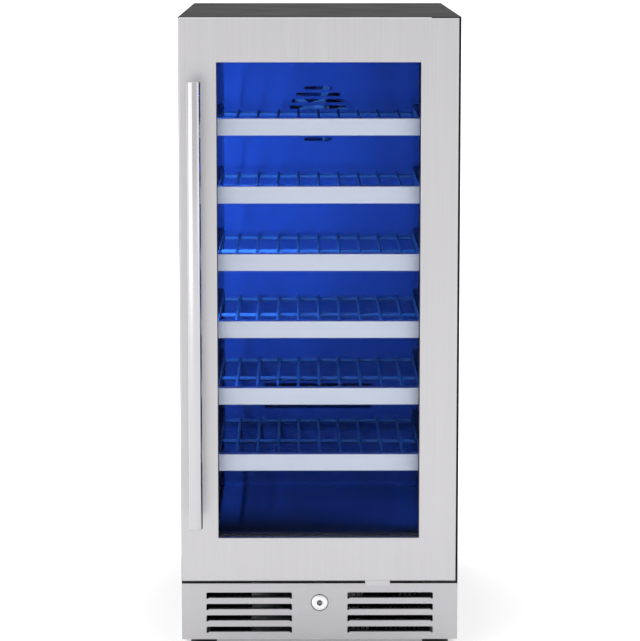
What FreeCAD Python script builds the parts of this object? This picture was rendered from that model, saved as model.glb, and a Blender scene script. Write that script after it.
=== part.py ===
"""Single-zone undercounter wine cooler with a framed glass door, six racks and a front-vented base.

Frame: millimetres, +Z up, +X to the right and +Y to the rear as seen by someone facing the door.
The origin lies on the floor, in the middle of the overall width and of the overall depth.
"""
import FreeCAD, Part
import math
import os
import Sketcher

doc = FreeCAD.newDocument("wine_cooler")
sheet = doc.addObject("Spreadsheet::Sheet", "dims")

DRIVING = {
    # Overall sizes
    "cabinet_width": 378,
    "cabinet_height": 867,
    "cabinet_depth": 550,
    "sheet_metal": 1.2,
    "heavy_plate": 1.5,
    "floor_gap": 15.5,
    "back_recess": 2,
    # Fits, and how far a cutter runs past the face that it goes through
    "running_fit": 0.05,
    "tight_fit": 0.02,
    "guide_gap": 0.3,
    "overcut": 1,
    # Inner liner and machine bay
    "cavity_width": 302,
    "cavity_depth": 450,
    "cavity_floor": 160,
    "cavity_top": 829,
    "liner_wall": 1.5,
    "liner_corner": 6,
    "step_depth": 333,
    "step_top": 242,
    "bay_roof_front": 112,
    "bay_roof_rear": 208,
    "bay_front_depth": 363,
    # Rear cover and power inlet
    "vent_left": -140,
    "vent_right": 0,
    "vent_start": 85,
    "vent_length": 90,
    "vent_height": 5,
    "vent_pitch": 13,
    "inlet_side": 126,
    "inlet_level": 56,
    "inlet_width": 28,
    "inlet_height": 21,
    "inlet_depth": 24,
    "inlet_wall": 2,
    "inlet_rim_width": 44,
    "inlet_rim_height": 30,
    "socket_depth": 16,
    "inlet_slack": 0.5,
    # Door
    "door_depth": 45,
    "door_width": 370,
    "door_height": 758.5,
    "door_offset": -1.5,
    "door_return": 30,
    "door_back_gap": 8,
    "window_width": 270.7,
    "window_height": 641,
    "window_rail": 59.5,
    "rim_depth": 2,
    "face_round": 1.1,
    "window_round": 0.9,
    "glass_thick": 4,
    "glass_gap": 12,
    "glass_margin": 11,
    "spacer_width": 7.5,
    "spacer_inset": 2,
    "plastic_wall": 2,
    "gasket_width": 14,
    "gasket_margin": 3,
    "gasket_gap": 0.3,
    "gasket_step": 2,
    # Door stop tab
    "tab_from_hinge": 88.4,
    "tab_width": 33.7,
    "tab_setback": 6,
    "tab_foot": 22,
    "tab_drop": 8.3,
    "tab_round": 5.5,
    # Door hinge
    "pivot_inset": 10,
    "pivot_depth": 23,
    "pin_radius": 4,
    "pin_length": 25,
    "bush_radius": 6.2,
    "bush_length": 24,
    "bush_flange": 9,
    "block_inner": 17,
    "block_front": 12,
    "block_rear": 11,
    "block_height": 28,
    "notch_depth": 11,
    "notch_inner": 25.5,
    "notch_setback": 4,
    "hinge_plate": 3,
    "hinge_arm": 9,
    "hinge_foot_inner": 21.5,
    "hinge_foot_outer": 12.5,
    "hinge_foot_height": 15,
    "hinge_rise": 7,
    "hinge_drop": 1.8,
    "hinge_kick_gap": 1.3,
    "hinge_screw_inset": 5,
    "screw_radius": 2.4,
    "screw_hole": 2.6,
    "screw_head": 3.8,
    "screw_sink": 1.4,
    "screw_length": 13,
    # Handle
    "handle_reach": 59,
    "handle_radius": 9,
    "handle_length": 595,
    "handle_drop": 80,
    "handle_inset": 21.5,
    "post_radius": 6,
    "post_inset": 62,
    "post_foot": 2.5,
    "post_flare": 1.8,
    "bolt_radius": 2.2,
    "bolt_length": 11,
    "bolt_head": 4.5,
    "bolt_head_height": 2.5,
    "bolt_space": 8,
    # Kick grille and front beam
    "kick_top": 94,
    "louvre_start": 38,
    "louvre_length": 117.3,
    "louvre_height": 6.9,
    "louvre_pitch": 16,
    "louvre_top": 81.3,
    "louvre_relief": 2.9,
    "louvre_bend": 1.7,
    "louvre_flap": 6,
    "louvre_corner": 1.9,
    "beam_plate": 2,
    "beam_depth": 28,
    "beam_gap": 1,
    # Lock
    "lock_height": 67,
    "lock_reach": 3.5,
    "lock_face": 10.75,
    "lock_hole": 12,
    "lock_flange": 15,
    "lock_barrel": 9,
    "lock_length": 17,
    "lock_core": 3.9,
    "lock_post": 1.75,
    "lock_disc": 8.5,
    "lock_lift": 8,
    "lock_pin": 2.5,
    "latch_width": 16,
    "latch_strip": 22,
    "latch_plate": 2,
    "latch_finger": 2.7,
    "latch_tip": 3.4,
    "latch_gap": 0.6,
    "keeper_width": 19,
    "keeper_depth": 9.5,
    # Racks
    "rack_pitch": 92,
    "rack_top_centre": 718.8,
    "rack_front_width": 292,
    "rack_front_height": 23.5,
    "rack_front_depth": 14,
    "rack_setback": 17,
    "rack_wire": 2,
    "rack_wire_pitch": 29,
    "rack_rod": 3,
    "rack_rod_drop": 8,
    "rail_inset": 12,
    "rail_low": 11.5,
    "rail_high": 3.5,
    "slide_reach": 8,
    "slide_drop": 5,
    "runner_length": 350,
    "runner_width": 10,
    "runner_low": 13,
    "runner_high": 5,
    # Feet and fans
    "foot_inset": 29,
    "foot_radius": 18,
    "foot_collar": 9,
    "stud_radius": 5,
    "stud_top": 45,
    "boss_radius": 9,
    "boss_height": 14,
    "inner_fan": 42,
    "outer_fan": 31,
    "hub_radius": 12,
    "shaft_radius": 1.5,
    # Cooling system
    "duct_setback": 58.5,
    "duct_edge": 1,
    "intake_drop": 120,
    "intake_radius": 43,
    "intake_pitch": 9.5,
    "slot_height": 5,
    "fin_thick": 0.8,
    "compressor_side": -30,
    "compressor_rear": 92,
    # Cavity fittings
    "control_width": 200,
    "control_setback": 8,
    "control_depth": 54,
    "control_height": 14,
    "control_edge": 8,
    "strip_thick": 3.5,
    "strip_width": 10,
    "strip_setback": 4,
    "strip_inset": 30,
}

RACK_COUNT = 6
LOUVRE_ROWS = 4
VENT_ROWS = 8


class Size:
    """A length that keeps the spreadsheet formula it comes from."""

    def __init__(self, value, formula):
        self.value = value
        self.formula = formula

    def _join(self, other, symbol, value, flip=False):
        left, right = (text(other), self.formula) if flip else (self.formula, text(other))
        return Size(value, f"({left} {symbol} {right})")

    def __add__(self, other):
        return self._join(other, "+", self.value + number(other))

    def __radd__(self, other):
        return self._join(other, "+", self.value + number(other), flip=True)

    def __sub__(self, other):
        return self._join(other, "-", self.value - number(other))

    def __rsub__(self, other):
        return self._join(other, "-", number(other) - self.value, flip=True)

    def __mul__(self, other):
        return self._join(other, "*", self.value * number(other))

    def __rmul__(self, other):
        return self._join(other, "*", self.value * number(other), flip=True)

    def __truediv__(self, other):
        return self._join(other, "/", self.value / number(other))

    def __neg__(self):
        return Size(-self.value, f"(0 - {self.formula})")


def number(size):
    return size.value if isinstance(size, Size) else float(size)


def text(size):
    return size.formula if isinstance(size, Size) else f"({float(size):.6f})"


for row, (name, value) in enumerate(DRIVING.items(), start=1):
    sheet.set(f"A{row}", str(value))
    sheet.setAlias(f"A{row}", name)
doc.recompute()


def dim(name):
    return Size(float(sheet.get(name)), f"dims.{name}")


# Reference planes of the whole object
sheet_metal = dim("sheet_metal")
plate = dim("heavy_plate")
overcut = dim("overcut")
running_fit = dim("running_fit")
guide_gap = dim("guide_gap")
half_width = dim("cabinet_width") / 2
rear = (dim("cabinet_depth") + dim("door_depth") + dim("handle_reach")) / 2
front = rear - dim("cabinet_depth")
top = dim("cabinet_height")
base = dim("floor_gap")
inner_side = half_width - sheet_metal
back_inner = rear - dim("back_recess") - sheet_metal

liner_wall = dim("liner_wall")
cavity_side = dim("cavity_width") / 2
cavity_floor = dim("cavity_floor")
cavity_top = dim("cavity_top")
cavity_back = front + dim("cavity_depth")
step_front = front + dim("step_depth")
step_top = dim("step_top")
bay_low = dim("bay_roof_front")
bay_high = dim("bay_roof_rear")
bay_step = front + dim("bay_front_depth")

door_front = front - dim("door_depth")
door_rear = front - dim("door_back_gap")
door_left = dim("door_offset") - dim("door_width") / 2
door_right = dim("door_offset") + dim("door_width") / 2
door_bottom = top - dim("door_height")
window_left = dim("door_offset") - dim("window_width") / 2
window_right = dim("door_offset") + dim("window_width") / 2
window_bottom = door_bottom + dim("window_rail")
window_top = window_bottom + dim("window_height")
glass_front = door_front + sheet_metal + dim("rim_depth")
inner_glass_front = glass_front + dim("glass_thick") + dim("glass_gap")
glass_rear = inner_glass_front + dim("glass_thick")

pivot_x = door_right - dim("pivot_inset")
pivot_y = door_front + dim("pivot_depth")
notch_floor = top - dim("notch_depth")
lock_z = dim("lock_height")
kick_front = front - plate
handle_x = door_left + dim("handle_inset")
handle_y = door_front - dim("handle_reach") + dim("handle_radius")
bolt_half = dim("latch_width") / 2
keeper_front = door_front + dim("door_return")
bay_floor = base + plate


# Plain solids and booleans

def bind(item, prop, size):
    item.setExpression(prop, text(size))


def place(item, corner):
    for axis, size in zip("xyz", corner):
        bind(item, f"Placement.Base.{axis}", size)


def block(name, low, high):
    """A box from its low corner to its high corner."""
    item = doc.addObject("Part::Box", name)
    item.Label = name
    for prop, start, end in zip(("Length", "Width", "Height"), low, high):
        bind(item, prop, end - start)
    place(item, low)
    return item


TURNS = {
    "x": FreeCAD.Rotation(FreeCAD.Vector(0, 1, 0), 90),
    "y": FreeCAD.Rotation(FreeCAD.Vector(1, 0, 0), -90),
    "z": FreeCAD.Rotation(),
}


def rod(name, start, axis, length, radius):
    """A cylinder that starts at a point and runs along +X, +Y or +Z."""
    item = doc.addObject("Part::Cylinder", name)
    item.Label = name
    bind(item, "Radius", radius)
    bind(item, "Height", length)
    item.Placement = FreeCAD.Placement(FreeCAD.Vector(), TURNS[axis])
    place(item, start)
    return item


def fuse(name, items):
    item = doc.addObject("Part::MultiFuse", name)
    item.Label = name
    item.Shapes = items
    return item


def cut(name, body, tools):
    item = doc.addObject("Part::Cut", name)
    item.Label = name
    item.Base = body
    item.Tool = tools[0] if len(tools) == 1 else fuse(f"{name}_tools", tools)
    return item


def group(name, items):
    """Several separate solids kept as one node."""
    item = doc.addObject("Part::Compound", name)
    item.Label = name
    item.Links = items
    return item


# PartDesign bodies

VIEWS = {"front": ("XZ_Plane", -1), "top": ("XY_Plane", 1), "side": ("YZ_Plane", 1)}


def new_body(name):
    item = doc.addObject("PartDesign::Body", name)
    item.Label = name
    return item


def sketch_on(body, view, offset=0):
    """A sketch on the body's own front (XZ), top (XY) or side (YZ) plane, moved along the plane's axis."""
    role, sign = VIEWS[view]
    planes = {feature.Role: feature for feature in body.Origin.OriginFeatures}
    sketch = body.newObject("Sketcher::SketchObject", f"{body.Name}_sketch")
    sketch.AttachmentSupport = [(planes[role], "")]
    sketch.MapMode = "FlatFace"
    bind(sketch, "AttachmentOffset.Base.z", offset * sign)
    return sketch


def pin_point(sketch, geometry, end, point):
    """Hold one end of a sketch element at a bound place, measured from the sketch's origin."""
    for kind, size in zip(("DistanceX", "DistanceY"), point):
        index = sketch.addConstraint(Sketcher.Constraint(kind, -1, 1, geometry, end, number(size)))
        bind(sketch, f"Constraints[{index}]", size)


def polygon(sketch, points):
    """A closed outline of straight edges through bound points."""
    corners = [FreeCAD.Vector(number(a), number(b), 0) for a, b in points]
    first = sketch.GeometryCount
    count = len(points)
    for index in range(count):
        sketch.addGeometry(Part.LineSegment(corners[index], corners[(index + 1) % count]), False)
    for index in range(count):
        after = first + (index + 1) % count
        sketch.addConstraint(Sketcher.Constraint("Coincident", first + index, 2, after, 1))
    for index, point in enumerate(points):
        pin_point(sketch, first + index, 1, point)


def rectangle(sketch, low, high):
    polygon(sketch, [low, (high[0], low[1]), high, (low[0], high[1])])


def pad(body, sketch, length, towards=1):
    """Add material from the sketch's plane, towards the plus or the minus side of its axis; 0 is both."""
    item = body.newObject("PartDesign::Pad", f"{body.Name}_pad")
    item.Profile = sketch
    bind(item, "Length", length)
    if towards == 0:
        item.SideType = "Symmetric"
    else:
        item.Reversed = view_sign(sketch) != towards
    doc.recompute()
    return item


def pocket(body, sketch, depth, towards=1):
    """Remove material from the sketch's plane, towards the plus or the minus side of its axis; 0 is both."""
    before = body.Shape.Volume
    item = body.newObject("PartDesign::Pocket", f"{body.Name}_pocket")
    item.Profile = sketch
    bind(item, "Length", depth)
    if towards == 0:
        item.SideType = "Symmetric"
    else:
        item.Reversed = view_sign(sketch) == towards
    doc.recompute()
    if not item.Shape.Volume < before - 0.01:
        raise RuntimeError(f"{item.Name} removes nothing")
    return item


def view_sign(sketch):
    plane = sketch.AttachmentSupport[0][0].Role
    return {role: sign for role, sign in VIEWS.values()}[plane]


def revolve(body, points):
    """A full turn about the body's Z axis of an outline given as (radius, height) points."""
    sketch = sketch_on(body, "front")
    polygon(sketch, points)
    item = body.newObject("PartDesign::Revolution", f"{body.Name}_turned")
    item.Profile = sketch
    item.ReferenceAxis = (sketch, ["V_Axis"])
    item.Angle = 360
    doc.recompute()
    return item


def round_edges(body, radius, wanted):
    """Fillet the edges of the body's last feature whose middle point and direction pass a test."""
    feature = body.Tip
    names = []
    for index, edge in enumerate(feature.Shape.Edges, start=1):
        middle = edge.valueAt((edge.FirstParameter + edge.LastParameter) / 2)
        if wanted(middle, edge):
            names.append(f"Edge{index}")
    item = body.newObject("PartDesign::Fillet", f"{body.Name}_fillet")
    item.Base = (feature, names)
    bind(item, "Radius", radius)
    doc.recompute()
    return item


def near(value, size, slack=0.05):
    return abs(value - number(size)) < slack


def turned(name, points, start, axis):
    """A lathe-like body whose axis starts at a point and runs along +X, +Y or +Z."""
    body = new_body(name)
    revolve(body, points)
    body.Placement = FreeCAD.Placement(FreeCAD.Vector(), TURNS[axis])
    place(body, start)
    return body


def mirrored_pair(low, high):
    """The two boxes, left and right of the middle plane, for a box given on the right."""
    left = (-high[0], low[1], low[2]), (-low[0], high[1], high[2])
    return left, (low, high)


# Cabinet

def make_cabinet_panels():
    top_edge = top - sheet_metal
    sides = mirrored_pair((inner_side, front, base), (half_width, rear, top_edge))
    for name, (low, high) in zip(("cabinet_left_side", "cabinet_right_side"), sides):
        block(name, low, high)
    block("cabinet_top_panel", (-half_width, front, top_edge), (half_width, rear, top))
    back_outer = rear - dim("back_recess")
    block("cabinet_back_panel", (-inner_side, back_inner, bay_high), (inner_side, back_outer, top_edge))


def make_rear_cover():
    """Sheet over the compressor bay with two fields of vent slots and a hole for the power inlet."""
    cut_front = back_inner - overcut
    cut_rear = back_inner + sheet_metal + overcut
    cover = block("rear_cover_sheet", (-inner_side, back_inner, bay_floor),
                  (inner_side, back_inner + sheet_metal, bay_high))
    openings = []
    for left in (dim("vent_left"), dim("vent_right")):
        for row in range(VENT_ROWS):
            z = bay_floor + dim("vent_start") + dim("vent_pitch") * row
            openings.append(block("rear_cover_slot", (left, cut_front, z),
                                  (left + dim("vent_length"), cut_rear, z + dim("vent_height"))))
    low, high = inlet_outline(dim("inlet_slack"))
    openings.append(block("rear_cover_inlet", (low[0], cut_front, low[1]), (high[0], cut_rear, high[1])))
    cut("rear_cover", cover, openings)


def inlet_outline(grow):
    """Low and high (x, z) corners of the power inlet's body, grown outwards."""
    across = dim("inlet_width") / 2 + grow
    up = dim("inlet_height") / 2 + grow
    x = dim("inlet_side")
    z = dim("inlet_level")
    return (x - across, z - up), (x + across, z + up)


def foot_places():
    x = half_width - dim("foot_inset")
    y_front = front + dim("foot_inset")
    y_rear = rear - dim("foot_inset")
    return {"front_left": (-x, y_front), "front_right": (x, y_front),
            "rear_left": (-x, y_rear), "rear_right": (x, y_rear)}


def make_base_pan():
    """Floor plate of the cabinet with four threaded bosses for the levelling feet."""
    height = dim("boss_height")
    sheet_part = block("base_pan_sheet", (-inner_side, front, base), (inner_side, back_inner, bay_floor))
    bosses = [rod("base_pan_boss", (x, y, bay_floor), "z", height, dim("boss_radius"))
              for x, y in foot_places().values()]
    bores = [rod("base_pan_bore", (x, y, base - overcut), "z", plate + height + overcut * 2,
                 dim("stud_radius") + running_fit) for x, y in foot_places().values()]
    cut("base_pan", fuse("base_pan_solid", [sheet_part] + bosses), bores)


def make_bay_roof():
    """Stepped sheet under the insulation, over the machine bay."""
    body = new_body("machine_bay_roof")
    sketch = sketch_on(body, "side")
    y0 = front + liner_wall
    y1 = bay_step
    low = bay_low - plate
    high = bay_high - plate
    polygon(sketch, [(y0, low), (y1 + plate, low), (y1 + plate, high), (back_inner, high),
                     (back_inner, bay_high), (y1, bay_high), (y1, bay_low), (y0, bay_low)])
    pad(body, sketch, inner_side * 2, 0)


def cavity_outline(grow):
    """Side outline of the stepped cavity, grown outwards by a wall."""
    return [(front, cavity_floor - grow), (step_front + grow, cavity_floor - grow),
            (step_front + grow, step_top - grow), (cavity_back + grow, step_top - grow),
            (cavity_back + grow, cavity_top + grow), (front, cavity_top + grow)]


def cavity_space(grow):
    """The same outline, run out past the cabinet front so that it cuts right through."""
    outline = cavity_outline(grow)
    outline[0] = (front - overcut, outline[0][1])
    outline[-1] = (front - overcut, outline[-1][1])
    return outline


def make_liner():
    """One formed liner: stepped cavity with a flange over the whole cabinet front."""
    body = new_body("inner_liner")
    outside = sketch_on(body, "side")
    polygon(outside, cavity_outline(liner_wall))
    pad(body, outside, (cavity_side + liner_wall) * 2, 0)
    flange = sketch_on(body, "front", front)
    rectangle(flange, (-inner_side, bay_low - plate), (inner_side, top - sheet_metal))
    pad(body, flange, liner_wall)
    inside = sketch_on(body, "side")
    polygon(inside, cavity_space(0))
    pocket(body, inside, cavity_side * 2, 0)
    outline = cavity_outline(0)
    hollows = (outline[1], outline[3], outline[4])
    round_edges(body, dim("liner_corner"), lambda middle, edge: near(middle.x, 0) and
                any(near(middle.y, y) and near(middle.z, z) for y, z in hollows))


def make_foam():
    """Foamed insulation between the shell, the liner and the machine bay roof."""
    body = new_body("insulation_foam")
    outside = sketch_on(body, "side")
    y0 = front + liner_wall
    polygon(outside, [(y0, bay_low), (bay_step, bay_low), (bay_step, bay_high), (back_inner, bay_high),
                      (back_inner, top - sheet_metal), (y0, top - sheet_metal)])
    pad(body, outside, inner_side * 2, 0)
    inside = sketch_on(body, "side")
    polygon(inside, cavity_space(liner_wall))
    pocket(body, inside, (cavity_side + liner_wall) * 2, 0)


def make_crossmember():
    """Front beam over the kick grille, with the guide slot of the lock bolt."""
    thick = dim("beam_plate")
    low = dim("kick_top") + dim("beam_gap")
    high = bay_low - plate
    face = block("crossmember_face", (-inner_side, front, low), (inner_side, front + thick, high))
    web = block("crossmember_web", (-inner_side, front + thick, high - thick),
                (inner_side, front + dim("beam_depth"), high))
    reach = bolt_half + guide_gap
    slot = block("crossmember_slot", (-reach, front - overcut, low - overcut),
                 (reach, front + thick + overcut, high - thick))
    cut("lower_crossmember", fuse("crossmember_solid", [face, web]), [slot])


def make_kick_grille():
    """Toe-kick sheet with two columns of louvres, each with a bent blade and relief cuts beside the bend."""
    sheet_part = block("kick_sheet", (-half_width, kick_front, base), (half_width, front, dim("kick_top")))
    bend = dim("louvre_bend")
    length = dim("louvre_length")
    relief = dim("louvre_relief")
    corner = number(dim("louvre_corner"))
    blade_front = kick_front + bend
    cutters = [rod("kick_lock_hole", (0, kick_front - overcut, lock_z), "y", plate + overcut * 2,
                   dim("lock_hole"))]
    blades = []
    for left in (-dim("louvre_start") - length, dim("louvre_start")):
        right = left + length
        for row in range(LOUVRE_ROWS):
            high = dim("louvre_top") - dim("louvre_pitch") * row
            low = high - dim("louvre_height") - bend
            opening = block("kick_opening", (left, kick_front - overcut, low),
                            (right, front + overcut, high))
            rounded = doc.addObject("Part::Fillet", "kick_opening_rounded")
            rounded.Base = opening
            rounded.Edges = [(index, corner, corner) for index in top_edges_along_y(opening)]
            cutters.append(rounded)
            nose = rod("kick_blade_bend", (left + relief, blade_front, low), "x", length - relief * 2, bend)
            flap = block("kick_blade_flap", (left + relief, blade_front, low + bend - sheet_metal),
                         (right - relief, blade_front + dim("louvre_flap"), low + bend))
            blades.append(fuse("kick_blade", [nose, flap]))
    fuse("kick_grille", [cut("kick_pierced", sheet_part, cutters)] + blades)


def top_edges_along_y(item):
    doc.recompute()
    high = item.Shape.BoundBox.ZMax
    found = []
    for index, edge in enumerate(item.Shape.Edges, start=1):
        box = edge.BoundBox
        if box.YLength > 1 and box.ZMin > high - 0.01:
            found.append(index)
    return found


# Lock

def make_lock():
    """Tubular lock: fixed housing, turning core with an eccentric pin, and the bolt that it lifts."""
    reach = dim("lock_reach")
    face = dim("lock_face")
    core = dim("lock_core")
    post = dim("lock_post")
    disc = dim("lock_disc")
    flange = dim("lock_flange")
    barrel = dim("lock_barrel")
    length = dim("lock_length")
    bore = core + running_fit
    flange_rear = reach + 2
    dome, dome_rise = 2.4, 1
    post_front, key_floor = 0.6, 4.5
    disc_front = length + guide_gap
    disc_rear = disc_front + plate
    mouth = (0, front - reach, lock_z)
    turned("lock_housing", [(bore, 0), (face - dome, 0), (face, dome_rise), (face, reach), (flange, reach),
                            (flange, flange_rear), (barrel, flange_rear), (barrel, length), (bore, length)],
           mouth, "y")
    plug = turned("lock_core_plug", [(0, post_front), (post, post_front), (post, key_floor),
                                     (core, key_floor), (core, disc_front), (disc, disc_front),
                                     (disc, disc_rear), (0, disc_rear)], mouth, "y")
    offset = dim("lock_lift") / 2
    pin_front = front - reach + disc_rear
    strip_front = pin_front + guide_gap
    strip_rear = strip_front + dim("latch_plate")
    pin_z = lock_z - offset
    pin_end = strip_rear + dim("latch_plate")
    pin = rod("lock_core_pin", (offset, pin_front, pin_z), "y", pin_end - pin_front, dim("lock_pin"))
    fuse("lock_core", [plug, pin])

    strip_half = dim("latch_strip") / 2
    strip_low = lock_z - disc * 2
    finger_high = door_bottom - dim("lock_lift") - dim("latch_gap")
    finger_low = finger_high - dim("latch_finger")
    tip_front = keeper_front + dim("latch_gap")
    tip_rear = tip_front + dim("latch_tip")
    strip = block("bolt_strip", (-strip_half, strip_front, strip_low), (strip_half, strip_rear, finger_low))
    finger = block("bolt_finger", (-bolt_half, tip_front, finger_low), (bolt_half, strip_rear, finger_high))
    tip = block("bolt_tip", (-bolt_half, tip_front, finger_low),
                (bolt_half, tip_rear, door_bottom - dim("latch_gap")))
    slack = dim("lock_pin") + guide_gap
    slot = block("bolt_slot", (offset - slack, strip_front - overcut, pin_z - slack),
                 (offset + dim("lock_pin") * 2, strip_rear + overcut, pin_z + slack))
    cut("lock_bolt", fuse("bolt_solid", [strip, finger, tip]), [slot])


# Door

def door_rectangle(sketch, shrink):
    rectangle(sketch, (door_left + shrink, door_bottom + shrink), (door_right - shrink, top - shrink))


def window_rectangle(sketch, grow):
    rectangle(sketch, (window_left - grow, window_bottom - grow), (window_right + grow, window_top + grow))


def hinge_notch(name):
    """Space at the door's top right corner, open upwards, sideways and to the rear, for the hinge arm."""
    return block(name, (pivot_x - dim("notch_inner"), door_front + dim("notch_setback"), notch_floor),
                 (door_right + overcut, door_rear + overcut, top + overcut))


def keeper(name):
    """Pocket in the door's bottom edge, behind the steel return, that takes the lock bolt's tip."""
    half = dim("keeper_width") / 2
    return block(name, (-half, keeper_front, door_bottom - overcut),
                 (half, door_rear - dim("plastic_wall"), door_bottom + dim("keeper_depth")))


def bush_hole(name, start, length):
    """Round hole for the lower hinge bush."""
    return rod(name, (pivot_x, pivot_y, start), "z", length, dim("bush_radius") + running_fit)


def handle_post_heights():
    handle_top = top - dim("handle_drop")
    return handle_top - dim("post_inset"), handle_top - dim("handle_length") + dim("post_inset")


def make_door_skin():
    """Folded stainless frame: flat face, four returns and a rim turned in around the window."""
    body = new_body("door_skin_folded")
    outline = sketch_on(body, "front", door_front)
    door_rectangle(outline, 0)
    pad(body, outline, dim("door_return"))
    hollow = sketch_on(body, "front", door_front + sheet_metal)
    door_rectangle(hollow, sheet_metal)
    pocket(body, hollow, dim("door_return"))
    rim = sketch_on(body, "front", door_front + sheet_metal)
    window_rectangle(rim, sheet_metal)
    window_rectangle(rim, 0)
    pad(body, rim, dim("rim_depth"))
    window = sketch_on(body, "front", door_front - overcut)
    window_rectangle(window, 0)
    pocket(body, window, sheet_metal + dim("rim_depth") + overcut * 2)
    round_edges(body, dim("face_round"),
                lambda middle, edge: near(middle.y, door_front) and not beside_window(middle))
    round_edges(body, dim("window_round"),
                lambda middle, edge: near(middle.y, door_front) and beside_window(middle))
    tools = [hinge_notch("skin_notch"),
             bush_hole("skin_bush_hole", door_bottom - overcut, sheet_metal + overcut * 2)]
    for z in handle_post_heights():
        tools.append(rod("skin_bolt_hole", (handle_x, door_front - overcut, z), "y",
                         sheet_metal + overcut * 2, dim("bolt_radius") + guide_gap))
    cut("door_skin", body, tools)


def beside_window(point):
    """Whether a point of the door's face lies on the window's edge."""
    return (number(window_left - overcut) < point.x < number(window_right + overcut) and
            number(window_bottom - overcut) < point.z < number(window_top + overcut))


def make_door_liner():
    """Moulded inner frame of the door: rear face, outer walls and the surround of the inner pane."""
    depth = door_rear - glass_rear
    wall = dim("plastic_wall")
    body = new_body("door_liner_moulding")
    outline = sketch_on(body, "front", glass_rear)
    door_rectangle(outline, sheet_metal)
    window_rectangle(outline, 0)
    pad(body, outline, depth)
    channel = sketch_on(body, "front", glass_rear)
    door_rectangle(channel, sheet_metal + wall)
    window_rectangle(channel, wall)
    pocket(body, channel, depth - wall)
    tools = [hinge_notch("liner_notch"), keeper("liner_keeper"),
             bush_hole("liner_bush_hole", door_bottom, sheet_metal + wall + overcut)]
    cut("door_liner", body, tools)


def make_door_foam():
    """Foam fill of the door around the glass unit, in three steps of depth."""
    wall = dim("plastic_wall")
    body = new_body("door_foam_fill")
    steps = [(door_front + sheet_metal, dim("rim_depth"), sheet_metal, sheet_metal),
             (glass_front, glass_rear - glass_front, sheet_metal, dim("glass_margin")),
             (glass_rear, door_rear - wall - glass_rear, sheet_metal + wall, wall)]
    for start, depth, shrink, grow in steps:
        layer = sketch_on(body, "front", start)
        door_rectangle(layer, shrink)
        window_rectangle(layer, grow)
        pad(body, layer, depth)
    upper, lower = hinge_block_boxes()
    tools = [hinge_notch("foam_notch"), keeper("foam_keeper"),
             block("foam_upper_block", *upper), block("foam_lower_block", *lower),
             bush_hole("foam_bush_space", door_bottom, sheet_metal + wall + overcut)]
    for z in handle_post_heights():
        tools.append(rod("foam_bolt_space", (handle_x, door_front + sheet_metal, z), "y",
                         dim("bolt_head_height") + overcut, dim("bolt_space")))
    cut("door_foam", body, tools)


def hinge_block_boxes():
    """Corners of the two blocks that hold the hinge bushes inside the door."""
    x0 = pivot_x - dim("block_inner")
    x1 = door_right - sheet_metal - dim("plastic_wall")
    y0 = pivot_y - dim("block_front")
    y1 = pivot_y + dim("block_rear")
    height = dim("block_height")
    return (((x0, y0, notch_floor - height), (x1, y1, notch_floor)),
            ((x0, y0, door_bottom + sheet_metal + dim("plastic_wall")), (x1, y1, door_bottom + height)))


def make_hinge_blocks():
    solids = []
    for label, (low, high) in zip(("upper", "lower"), hinge_block_boxes()):
        bore = bush_hole(f"{label}_block_bore", low[2] - overcut, dim("block_height") + overcut * 2)
        solids.append(cut(f"{label}_block", block(f"{label}_block_solid", low, high), [bore]))
    group("hinge_blocks", solids)


def make_hinge_bushes():
    """Flanged bushes: one faces up at the door's top, one faces down at its bottom."""
    bore = dim("pin_radius") + running_fit
    radius = dim("bush_radius")
    length = dim("bush_length")
    flange = dim("bush_flange")
    upper = turned("upper_bush", [(bore, 0), (radius, 0), (radius, length), (flange, length),
                                  (flange, length + plate), (bore, length + plate)],
                   (pivot_x, pivot_y, notch_floor - length), "z")
    lower = turned("lower_bush", [(bore, 0), (flange, 0), (flange, plate), (radius, plate),
                                  (radius, length + plate), (bore, length + plate)],
                   (pivot_x, pivot_y, door_bottom - plate), "z")
    group("hinge_bushes", [upper, lower])


def make_hinge_plates():
    """Angle plates on the cabinet front; their arms reach over and under the door's corner."""
    thick = dim("hinge_plate")
    arm = dim("hinge_arm")
    length = dim("pin_length")
    high = notch_floor + dim("hinge_rise")
    low = door_bottom - dim("hinge_drop")
    screws = []
    for name, foot_low, foot_high in (("top_hinge_plate", high - dim("hinge_foot_height"), high),
                                      ("bottom_hinge_plate", dim("kick_top") + dim("hinge_kick_gap"), low)):
        arm_low = foot_high - thick
        screw_z = (foot_low + foot_high) / 2 - 1
        foot = block(f"{name}_foot", (pivot_x - dim("hinge_foot_inner"), front - thick, foot_low),
                     (pivot_x + dim("hinge_foot_outer"), front, foot_high))
        reach = block(f"{name}_arm", (pivot_x - arm, pivot_y, arm_low), (pivot_x + arm, front, foot_high))
        end = rod(f"{name}_end", (pivot_x, pivot_y, arm_low), "z", thick, arm)
        tools = [rod(f"{name}_bore", (pivot_x, pivot_y, arm_low - overcut), "z", thick + overcut * 2,
                     dim("pin_radius") + dim("tight_fit"))]
        for x in hinge_screw_places():
            tools.append(rod(f"{name}_hole", (x, front - thick - overcut, screw_z), "y", thick + overcut * 2,
                             dim("screw_hole")))
            tools.append(countersink(f"{name}_sink", x, screw_z, dim("tight_fit")))
            sunk = front - thick + dim("screw_sink") / 2
            shank = rod("hinge_screw_shank", (x, sunk, screw_z), "y", dim("screw_length"),
                        dim("screw_radius"))
            screws.append(fuse("hinge_screw", [shank, countersink("hinge_screw_head", x, screw_z, 0)]))
        cut(name, fuse(f"{name}_solid", [foot, reach, end]), tools)
    group("hinge_pins", [rod("top_pin", (pivot_x, pivot_y, high - length), "z", length, dim("pin_radius")),
                         rod("bottom_pin", (pivot_x, pivot_y, low - thick), "z", length, dim("pin_radius"))])
    group("hinge_screws", screws)


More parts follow.
